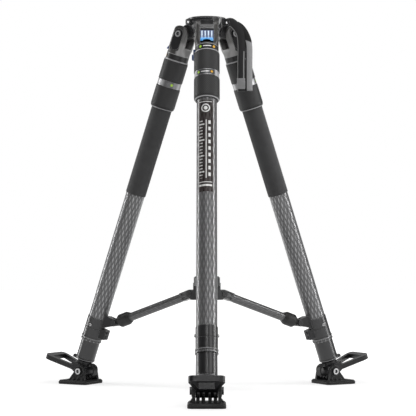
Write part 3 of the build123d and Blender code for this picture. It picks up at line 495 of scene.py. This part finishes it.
def webbing(name, base):
    """Woven strap: fine ribs along and picks across, following the band's own coordinates."""
    shade = Shade(name)
    uv = shade.tree.nodes.new("ShaderNodeUVMap")
    uv.uv_map = "band"
    parts = shade.tree.nodes.new("ShaderNodeSeparateXYZ")
    shade.tree.links.new(uv.outputs[0], parts.inputs[0])
    across, along = parts.outputs[0], parts.outputs[1]
    warp = shade.math("ABSOLUTE", shade.math("SINE", shade.math("MULTIPLY", across, pi / 0.0016)))
    weft = shade.math("ABSOLUTE", shade.math("SINE", shade.math("MULTIPLY", along, pi / 0.0022)))
    weave = shade.math("MULTIPLY", warp, shade.math("MULTIPLY_ADD", weft, 0.6, 0.4))
    fuzz = shade.noise(900.0, 3.0)
    mixed = shade.math("MULTIPLY_ADD", fuzz, 0.4, shade.math("MULTIPLY", weave, 0.6))
    dark = tuple(c * 0.45 for c in base) + (1.0,)
    color = shade.mix(mixed, dark, tuple(c * 1.25 for c in base) + (1.0,))
    shade.bump(weave, 0.5, 0.0004)
    return shade, across, along, color


def front_web(name):
    """Black webbing with a pale bound edge and a grey bar stitched along the other side."""
    shade, across, along, color = webbing(name, (0.018, 0.018, 0.019))
    color = shade.mix(shade.band(across, -0.0084, -0.0070, 0.0003), color, (0.30, 0.30, 0.30, 1))
    stitched = shade.math("MULTIPLY", shade.band(across, 0.0042, 0.0066, 0.0003),
                          shade.band(along, 0.080, 0.150, 0.001))
    color = shade.mix(stitched, color, (0.24, 0.24, 0.24, 1))
    return shade.finish(color, 0.75, specular=0.3, sheen=0.1)


def outer_web(name):
    """Grey webbing with a black bound edge, made black by painted shadow where it comes over the bend."""
    shade, across, along, color = webbing(name, (0.36, 0.36, 0.365))
    edge = shade.math("SUBTRACT", 1.0, shade.step(across, -0.0052, -0.0044))
    # painted shadow: the band is made black where it comes over the bend
    slant = shade.math("MULTIPLY_ADD", across, -0.7, along)
    over = shade.math("SUBTRACT", 1.0, shade.step(slant, 0.0440, 0.0470))
    black = shade.math("MAXIMUM", edge, over)
    color = shade.mix(black, color, (0.008, 0.008, 0.008, 1))
    return shade.finish(color, 0.75, specular=0.3, sheen=0.1)


# ---------------------------------------------------------------- assign materials to the CAD nodes
def dress(node, material):
    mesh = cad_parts[node].data
    mesh.materials.clear()
    mesh.materials.append(material)


black_cast = satin("black_cast", (0.017, 0.017, 0.018), 0.30, coat=0.3, edge=0.30)
fitting_black = satin("fitting_black", (0.010, 0.010, 0.011), 0.36, coat=0.1, edge=0.14)
steel = satin("steel", (0.62, 0.62, 0.62), 0.38, grain=500.0, relief=0.1, metallic=0.6, edge=0.75, shade_recesses=True)
sole_rubber = satin("sole_rubber", (0.010, 0.010, 0.010), 0.60, grain=500.0, relief=0.5, specular=0.3,
                    edge=0.12)
strap_rubber = satin("strap_rubber", (0.008, 0.008, 0.008), 0.45, specular=0.4, edge=0.10)
knob_rubber = satin("knob_rubber", (0.012, 0.012, 0.012), 0.48, grain=600.0, specular=0.4, edge=0.08)
hub_plastic = satin("hub_plastic", (0.013, 0.013, 0.014), 0.40, edge=0.12)
arm_paint = satin("arm_paint", (0.012, 0.012, 0.013), 0.35, coat=0.1, specular=0.4, edge=0.14)
navy = satin("navy", (0.006, 0.030, 0.11), 0.40, specular=0.3)
keeper_gray = satin("keeper_gray", (0.27, 0.27, 0.275), 0.45, edge=0.45)
foam_black = foam("foam_black")

dress("bowl_hub", black_cast)
dress("spreader_hub", hub_plastic)
dress("level_button_front", navy)
dress("strap_keeper", keeper_gray)
for side, azimuth in LEGS.items():
    dress(f"leg_casting_{side}", casting(f"casting_{side}", azimuth))
    dress(f"pivot_bolt_{side}", turned_cap(f"pivot_cap_{side}", azimuth, 0.0, 0.0))
    dress(f"angle_tab_{side}", stop_tab(f"stop_tab_{side}", azimuth))
    dress(f"indicator_ring_{side}", marked_ring(f"marked_ring_{side}", azimuth))
    dress(f"upper_grip_{side}", ribbed_rubber(f"upper_rubber_{side}", azimuth, 0.0600))
    dress(f"lower_grip_{side}", ribbed_rubber(f"lower_rubber_{side}", azimuth, 0.1720))
    tube = carbon(f"carbon_{side}", leg_wrap(azimuth))
    outer = carbon("carbon_front_printed", leg_wrap(azimuth), decal=True) if side == "front" else tube
    dress(f"outer_tube_{side}", outer)
    dress(f"middle_tube_{side}", tube)
    dress(f"inner_tube_{side}", tube)
    dress(f"leg_collar_{side}", lacquer(f"collar_{side}", azimuth))
    dress(f"foot_fitting_{side}", lacquer(f"fitting_{side}", azimuth))
    dress(f"foot_bolts_{side}", turned_cap(f"foot_cap_{side}", azimuth, -FOOT_PIVOT_IN, FOOT_PIVOT_AT))
    dress(f"foot_pad_{side}", sole_rubber)
    dress(f"foot_strap_{side}", strap_rubber)
    dress(f"arm_rod_{side}", arm_paint)
    dress(f"arm_tube_{side}", carbon(f"carbon_arm_{side}", arm_wrap(azimuth), tone=0.55))
    dress(f"arm_knob_{side}", knob_rubber)
    if side != "front":
        dress(f"grip_sleeve_{side}", foam_black)


# ---------------------------------------------------------------- the carrying strap
def hermite(points, tangents, steps):
    """Smooth line through points with given end slopes; inner slopes follow the neighbours."""
    slopes = [tangents[0]]
    slopes += [(points[k + 1] - points[k - 1]) * 0.5 for k in range(1, len(points) - 1)]
    slopes += [tangents[1]]
    line = []
    for k in range(len(points) - 1):
        for n in range(steps):
            t = n / steps
            a = 2 * t**3 - 3 * t**2 + 1
            b = t**3 - 2 * t**2 + t
            c = -2 * t**3 + 3 * t**2
            d = t**3 - t**2
            line.append(points[k] * a + slopes[k] * b + points[k + 1] * c + slopes[k + 1] * d)
    line.append(points[-1])
    return line


def band(name, line, top_width, width, thick, material, body):
    """Woven band along a line in an upright plane, its broad side to the front, wider over the bend."""
    mesh = bpy.data.meshes.new(name)
    form = bmesh.new()
    layer = form.loops.layers.uv.new("band")
    outline = [(-1, -0.35), (-0.92, -0.5), (0.0, -0.52), (0.92, -0.5), (1, -0.35),
               (1, 0.35), (0.92, 0.5), (0.0, 0.52), (-0.92, 0.5), (-1, 0.35)]
    rings = []
    travelled = 0.0
    for k, point in enumerate(line):
        ahead = line[min(k + 1, len(line) - 1)] - line[max(k - 1, 0)]
        ahead.normalize()
        across = Vector((ahead.z, 0.0, -ahead.x))
        if k:
            travelled += (point - line[k - 1]).length
        share = min(1.0, max(0.0, (travelled - 0.028) / 0.030))
        half = (top_width + (width - top_width) * share * share * (3 - 2 * share)) / 2
        ring = [form.verts.new(point - across * x * half + Vector((0, y * thick, 0))) for x, y in outline]
        rings.append((ring, travelled))
    count = len(outline)
    for (low, low_at), (high, high_at) in zip(rings, rings[1:]):
        for n in range(count):
            m = (n + 1) % count
            face = form.faces.new((low[n], low[m], high[m], high[n]))
            for loop, (x, at) in zip(face.loops, ((outline[n][0], low_at), (outline[m][0], low_at),
                                                  (outline[m][0], high_at), (outline[n][0], high_at))):
                loop[layer].uv = (x * width / 2, at)
            face.smooth = True
    form.faces.new(list(reversed(rings[0][0])))
    form.faces.new(rings[-1][0])
    bmesh.ops.recalc_face_normals(form, faces=form.faces)
    form.to_mesh(mesh)
    form.free()
    piece = bpy.data.objects.new(name, mesh)
    bpy.context.scene.collection.objects.link(piece)
    mesh.materials.append(material)
    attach(piece, body)
    return piece


strap_low, strap_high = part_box("carry_strap")
strap_mid = (strap_low.y + strap_high.y) / 2


def at(x, z):
    return Vector((x * MM, strap_mid, z * MM))


front_line = hermite([at(45, -11), at(57, -12), at(72, -31), at(75.8, -60), at(75.5, -100), at(75.5, -161.5)],
                     (Vector((0.014, 0, 0.005)), Vector((0, 0, -0.05))), 14)
outer_line = hermite([at(65, -15), at(77, -24), at(87, -41), at(92, -62), at(92.3, -100), at(92.3, -160.5)],
                     (Vector((0.014, 0, -0.007)), Vector((0, 0, -0.05))), 14)
front_band = band("strap_front_band", front_line, 0.0195, 0.0168, 0.0052, front_web("web_front"), "bowl")
band("strap_outer_band", outer_line, 0.0158, 0.0154, 0.0050, outer_web("web_outer"), "bowl")
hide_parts("carry_strap")


# ---------------------------------------------------------------- small parts on the legs
def from_mesh(name, form, material, body):
    mesh = bpy.data.meshes.new(name)
    bmesh.ops.recalc_face_normals(form, faces=form.faces)
    form.to_mesh(mesh)
    form.free()
    piece = bpy.data.objects.new(name, mesh)
    bpy.context.scene.collection.objects.link(piece)
    mesh.materials.append(material)
    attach(piece, body)
    return piece


def socket_screw(name, foot, axis, radius, height, body):
    """Cap screw with a chamfered head and a round socket, standing on a face."""
    form = bmesh.new()
    across = axis.orthogonal().normalized()
    other = axis.cross(across)
    section = [(radius, 0.0), (radius, 0.75), (radius * 0.86, 1.0),
               (radius * 0.55, 1.0), (radius * 0.50, 0.35)]
    rings = []
    for r, h in section:
        rings.append([form.verts.new(foot + axis * h * height + (across * cos(t) + other * sin(t)) * r)
                      for t in (2 * pi * n / 20 for n in range(20))])
    for low, high in zip(rings, rings[1:]):
        for n in range(20):
            form.faces.new((low[n], low[(n + 1) % 20], high[(n + 1) % 20], high[n]))
    form.faces.new(rings[-1])
    form.faces.new(list(reversed(rings[0])))
    return from_mesh(name, form, steel, body)


def ankle_fins(name, azimuth, body):
    """Four moulded fins round the front and the underside of the ankle, under the pedal."""
    pivot, outward, side, down = leg_axes(azimuth)
    a = radians(azimuth)
    level = Vector((cos(a), sin(a), 0.0))
    up = Vector((0.0, 0.0, 1.0))
    centre = pivot + down * FOOT_PIVOT_AT - outward * FOOT_PIVOT_IN
    form = bmesh.new()
    for middle in (-0.0162, -0.0056, 0.0056, 0.0162):
        half = 0.0021
        sheets = []
        for face in (-half, half):
            taper = 0.0004 if face > 0 else -0.0004
            arc = []
            for n in range(13):
                t = radians(-2 - 118 * n / 12)
                spoke = level * cos(t) + up * sin(t)
                arc.append((form.verts.new(centre + spoke * 0.0125 + side * (middle + face + taper)),
                            form.verts.new(centre + spoke * 0.0188 + side * (middle + face)),
                            form.verts.new(centre + spoke * 0.0193 + side * (middle + face * 0.7))))
            sheets.append(arc)
        one, two = sheets
        for n in range(12):
            for k in range(2):
                form.faces.new((one[n][k], one[n + 1][k], one[n + 1][k + 1], one[n][k + 1]))
                form.faces.new((two[n][k], two[n][k + 1], two[n + 1][k + 1], two[n + 1][k]))
            form.faces.new((one[n][2], one[n + 1][2], two[n + 1][2], two[n][2]))
            form.faces.new((one[n][0], two[n][0], two[n + 1][0], one[n + 1][0]))
        for n in (0, 12):
            form.faces.new((one[n][0], one[n][1], one[n][2], two[n][2], two[n][1], two[n][0]))
    return from_mesh(name, form, fitting_black, body)


def sole_gussets(name, azimuth, body):
    """Four moulded gussets on the sole in front of the ankle, sloped like the ears beside them."""
    pivot, outward, side, down = leg_axes(azimuth)
    a = radians(azimuth)
    level = Vector((cos(a), sin(a), 0.0))
    ankle = pivot + down * FOOT_PIVOT_AT - outward * FOOT_PIVOT_IN
    base = Vector((ankle.x, ankle.y, FLOOR))
    form = bmesh.new()
    for middle in (-0.0172, -0.0066, 0.0066, 0.0172):
        rows = []
        for across, low in ((-0.0037, 0.0), (-0.0031, 0.0006), (0.0031, 0.0006), (0.0037, 0.0)):
            section = ((0.0200, 0.0084), (0.0278 + low, 0.0084), (0.0222 + low, 0.0176),
                       (0.0212 + low, 0.0184), (0.0200, 0.0184))
            rows.append([form.verts.new(base + level * x + Vector((0, 0, z)) + side * (middle + across))
                         for x, z in section])
        for one, two in zip(rows, rows[1:]):
            for n in range(5):
                m = (n + 1) % 5
                form.faces.new((one[n], one[m], two[m], two[n]))
        form.faces.new(rows[0])
        form.faces.new(list(reversed(rows[-1])))
    return from_mesh(name, form, sole_rubber, body)


for side_name, azimuth in LEGS.items():
    ankle_fins(f"ankle_fins_{side_name}", azimuth, f"inner_{side_name}")
    sole_gussets(f"sole_gussets_{side_name}", azimuth, f"foot_{side_name}")
    pivot, outward, side, down = leg_axes(azimuth)
    for face in (-1, 1):
        socket_screw(f"collar_screw_{side_name}_{'a' if face < 0 else 'b'}",
                     pivot + down * COLLAR_SCREW_AT + side * face * COLLAR_RADIUS - outward * 0.001,
                     side * face, 0.0033, 0.0030, f"leg_{side_name}")


# ---------------------------------------------------------------- floor, lights and camera
floor_mesh = bpy.data.meshes.new("studio_floor")
floor_mesh.from_pydata([(-6, -5, FLOOR), (6, -5, FLOOR), (6, 7, FLOOR), (-6, 7, FLOOR)], [], [(0, 1, 2, 3)])
floor = bpy.data.objects.new("studio_floor", floor_mesh)
bpy.context.scene.collection.objects.link(floor)
shade = Shade("floor_white")
shade.surface.inputs["Emission Color"].default_value = (1, 1, 1, 1)
path = shade.tree.nodes.new("ShaderNodeLightPath")
direct = shade.math("ADD", path.outputs["Is Camera Ray"], path.outputs["Is Glossy Ray"])
direct = shade.math("ADD", direct, path.outputs["Is Transmission Ray"], clamp=True)
reach = shade.tree.nodes.new("ShaderNodeVectorMath")
reach.operation = "LENGTH"
shade.put(reach.inputs[0], shade.vector("MULTIPLY", shade.coords(), (1.0, 1.0, 0.0)))
far = shade.step(reach.outputs["Value"], 0.45, 1.25)
shade.put(shade.surface.inputs["Emission Strength"],
          shade.math("MULTIPLY", direct, shade.math("MULTIPLY_ADD", far, 0.45, 0.50)))
floor_mesh.materials.append(shade.finish((0.55, 0.55, 0.55, 1), 0.85, specular=0.1))

world = bpy.data.worlds.new("studio")
bpy.context.scene.world = world
world.use_nodes = True
nodes, links = world.node_tree.nodes, world.node_tree.links
nodes.clear()


def world_math(kind, a, b):
    node = nodes.new("ShaderNodeMath")
    node.operation = kind
    for socket, value in zip(node.inputs, (a, b)):
        if isinstance(value, bpy.types.NodeSocket):
            links.new(value, socket)
        else:
            socket.default_value = value
    return node.outputs[0]


output = nodes.new("ShaderNodeOutputWorld")
lit = nodes.new("ShaderNodeBackground")
seen = nodes.new("ShaderNodeBackground")
lit.inputs[0].default_value = (1, 1, 1, 1)
lit.inputs[1].default_value = 0.40
seen.inputs[0].default_value = (1, 1, 1, 1)
ray = nodes.new("ShaderNodeLightPath")
heading = nodes.new("ShaderNodeSeparateXYZ")
links.new(nodes.new("ShaderNodeTexCoord").outputs["Generated"], heading.inputs[0])
backdrop = nodes.new("ShaderNodeMapRange")
backdrop.interpolation_type = "SMOOTHSTEP"
links.new(heading.outputs[1], backdrop.inputs[0])
for slot, value in zip((1, 2, 3, 4), (0.78, 0.98, 0.10, 1.0)):
    backdrop.inputs[slot].default_value = value
straight = world_math("MAXIMUM", ray.outputs["Is Camera Ray"], ray.outputs["Is Transmission Ray"])
links.new(world_math("MAXIMUM", straight, backdrop.outputs[0]), seen.inputs[1])
pick = nodes.new("ShaderNodeMixShader")
links.new(world_math("MAXIMUM", straight, ray.outputs["Is Glossy Ray"]), pick.inputs[0])
links.new(lit.outputs[0], pick.inputs[1])
links.new(seen.outputs[0], pick.inputs[2])
links.new(pick.outputs[0], output.inputs[0])


def softbox(name, place, aim, size, power):
    light = bpy.data.lights.new(name, "AREA")
    light.shape = "RECTANGLE"
    light.size, light.size_y = size
    light.energy = power
    lamp = bpy.data.objects.new(name, light)
    bpy.context.scene.collection.objects.link(lamp)
    lamp.location = place
    lamp.rotation_euler = (Vector(aim) - Vector(place)).to_track_quat("-Z", "Y").to_euler()
    return lamp


softbox("key_left", (-2.5, 1.0, 0.1), (0, 0, -0.40), (0.5, 2.2), 30)
softbox("key_right", (2.7, 0.0, 0.1), (0, 0, -0.40), (0.4, 2.2), 32)
softbox("front_high", (0.12, -2.5, 1.45), (0, 0, -0.40), (0.22, 1.6), 15)
softbox("fill_right", (2.0, -2.1, 0.7), (0, 0, -0.40), (1.1, 2.0), 16)
softbox("top", (0.0, -0.4, 2.4), (0, 0, -0.4), (2.6, 2.2), 42)

camera_data = bpy.data.cameras.new("photo_camera")
camera_data.sensor_width = 36.0
camera_data.lens = 129.57
camera = bpy.data.objects.new("photo_camera", camera_data)
bpy.context.scene.collection.objects.link(camera)
camera.location = (0.0025, -3.2866, -0.4975)
camera.rotation_euler = (radians(91.4), 0.0, 0.0)
bpy.context.scene.camera = camera
bpy.context.scene.view_settings.view_transform = "Standard"
